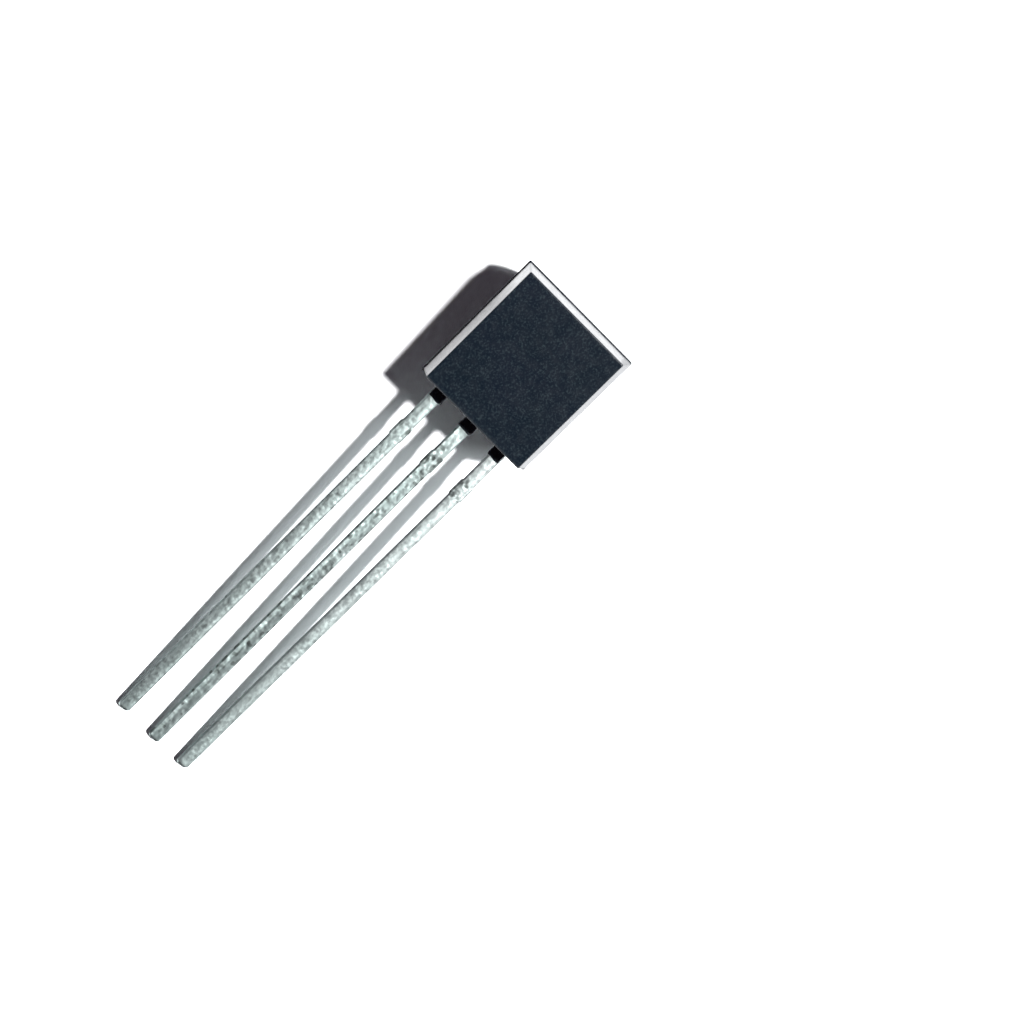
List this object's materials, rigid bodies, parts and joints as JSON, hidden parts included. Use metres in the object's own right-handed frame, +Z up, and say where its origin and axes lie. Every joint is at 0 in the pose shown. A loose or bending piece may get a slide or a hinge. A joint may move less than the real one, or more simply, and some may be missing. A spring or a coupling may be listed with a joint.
{
  "type": "to-92 transistor",
  "caption": "Small-signal transistor in a D-shaped black epoxy case with a flat face and straight tinned leads, lying flat face up.",
  "frame": {"origin": "on the surface that the part lies on, below the middle of its overall box", "axes": "+Z up, the flat face up and leaning 7.8 degrees towards the leads; +X from the lead tips to the top of the case; +Y from the base lead to the emitter lead"},
  "size_m": [0.0188, 0.0044, 0.004],
  "materials": {
    "epoxy": "fine matte moulded black epoxy, smoother on the ends and the round side",
    "tinned_lead": "bright bumpy tin over a stamped lead",
    "silicon": "polished chip",
    "die_attach": "silver-filled adhesive",
    "gold_wire": "drawn gold wire"
  },
  "bodies": {
    "root": {"epoxy_body": "epoxy", "lead_emitter": "tinned_lead", "lead_collector": "tinned_lead", "lead_base": "tinned_lead", "silicon_die": "silicon", "die_attach": "die_attach", "bond_wire_emitter": "gold_wire", "bond_wire_base": "gold_wire"}
  },
  "joints": []
}
